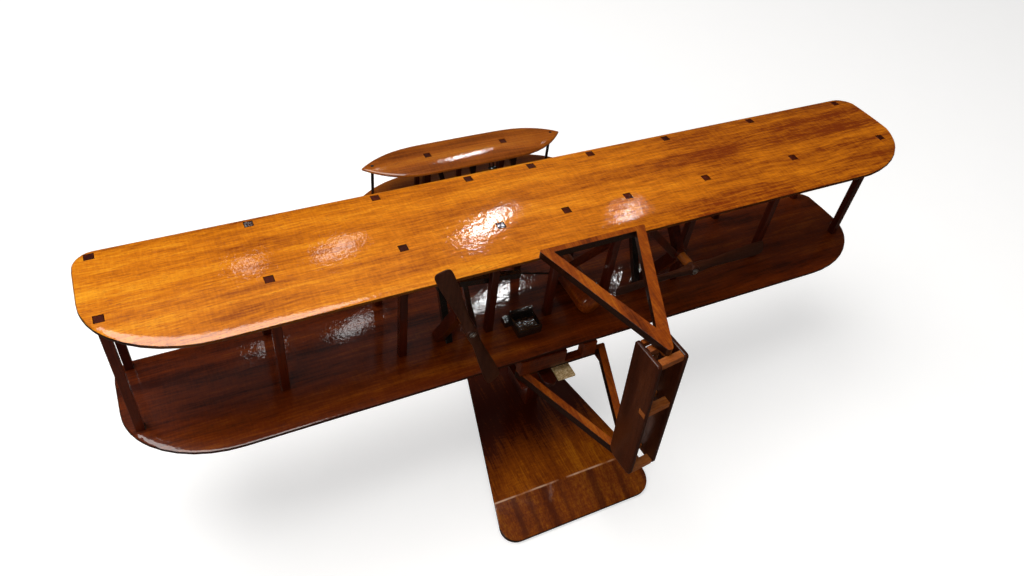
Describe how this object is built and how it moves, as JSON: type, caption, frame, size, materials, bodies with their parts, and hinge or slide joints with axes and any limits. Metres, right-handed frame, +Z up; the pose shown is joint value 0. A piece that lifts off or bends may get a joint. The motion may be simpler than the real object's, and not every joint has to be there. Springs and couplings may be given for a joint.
{
  "type": "model aircraft",
  "caption": "Desktop wooden model of an early canard pusher biplane on a post and base board, with free-turning twin propellers and a swivelling twin-fin rudder.",
  "frame": {"origin": "on the stand's flat underside at the table, on the centreline below the rear strut row", "axes": "+X along the wings to starboard, +Y forward to the nose, +Z up from the table"},
  "size_m": [0.5124, 0.2668, 0.2135],
  "materials": {
    "golden_mahogany": "clear gloss lacquer over golden mahogany with ribbon grain",
    "red_mahogany": "clear gloss lacquer over red-brown mahogany",
    "strut_wood": "gloss lacquered very dark red-brown wood",
    "dark_wood": "gloss lacquered dark brown wood",
    "propeller_wood": "satin dark brown wood",
    "fin_wood": "satin dark brown wood",
    "rail_wood": "satin orange-brown wood",
    "dowel_wood": "lacquered golden dowel",
    "hub_steel": "bright plated eyelet",
    "black_gloss": "glossy black lacquer",
    "tan_pad": "unlacquered pale speckled tile"
  },
  "bodies": {
    "airframe": {"base_board": "golden_mahogany", "bearing_bracket_port": "dark_wood", "bearing_bracket_starboard": "dark_wood", "belly_pad": "dark_wood", "belly_tile": "tan_pad", "chain_guide_starboard": "dark_wood", "control_rods": "black_gloss", "drive_frame_port": "black_gloss", "drive_rod_port": "black_gloss", "elevator_brace_port": "black_gloss", "elevator_lower": "red_mahogany", "elevator_post_centre": "red_mahogany", "elevator_post_port": "red_mahogany", "elevator_strut_port": "dark_wood", "elevator_strut_starboard": "dark_wood", "elevator_tip_strut_port": "black_gloss", "elevator_tip_strut_starboard": "black_gloss", "elevator_upper": "red_mahogany", "elevator_vee_centre": "black_gloss", "elevator_vee_starboard": "black_gloss", "engine_block": "black_gloss", "front_stay_port": "black_gloss", "front_stay_starboard": "black_gloss", "fuel_tank": "red_mahogany", "hub_rivet_port": "hub_steel", "hub_rivet_starboard": "hub_steel", "lower_wing": "red_mahogany", "prop_shaft_port": "dowel_wood", "prop_shaft_starboard": "dowel_wood", "skid_port": "dark_wood", "skid_starboard": "dark_wood", "stand_post": "dark_wood", "strut_front_centre": "strut_wood", "strut_front_port_1": "strut_wood", "strut_front_port_2": "strut_wood", "strut_front_port_3": "strut_wood", "strut_front_port_4": "strut_wood", "strut_front_starboard_1": "strut_wood", "strut_front_starboard_2": "strut_wood", "strut_front_starboard_3": "strut_wood", "strut_front_starboard_4": "strut_wood", "strut_rear_centre": "strut_wood", "strut_rear_port_1": "strut_wood", "strut_rear_port_2": "strut_wood", "strut_rear_port_3": "strut_wood", "strut_rear_port_4": "strut_wood", "strut_rear_starboard_1": "strut_wood", "strut_rear_starboard_2": "strut_wood", "strut_rear_starboard_3": "strut_wood", "strut_rear_starboard_4": "strut_wood", "tail_frame_lower": "red_mahogany", "tail_frame_upper": "golden_mahogany", "tail_spacer": "red_mahogany", "upper_wing": "golden_mahogany"},
    "port_propeller": {"propeller_port": "propeller_wood"},
    "starboard_propeller": {"propeller_starboard": "propeller_wood"},
    "rudder": {"rudder_fin_port": "fin_wood", "rudder_fin_starboard": "fin_wood", "rudder_ladder": "rail_wood"}
  },
  "joints": [
    {"name": "port_propeller_spin", "type": "hinge", "parent": "airframe", "child": "port_propeller", "pos_m": [-0.0733, -0.0376, 0.1615], "axis": [0, 1, 0], "continuous": true},
    {"name": "starboard_propeller_spin", "type": "hinge", "parent": "airframe", "child": "starboard_propeller", "pos_m": [0.0733, -0.0376, 0.1615], "axis": [0, 1, 0], "continuous": true},
    {"name": "rudder_swivel", "type": "hinge", "parent": "airframe", "child": "rudder", "pos_m": [0.0004, -0.1, 0.193], "axis": [-0.0715, 0, 0.9974], "range_deg": [-8, 8]}
  ]
}
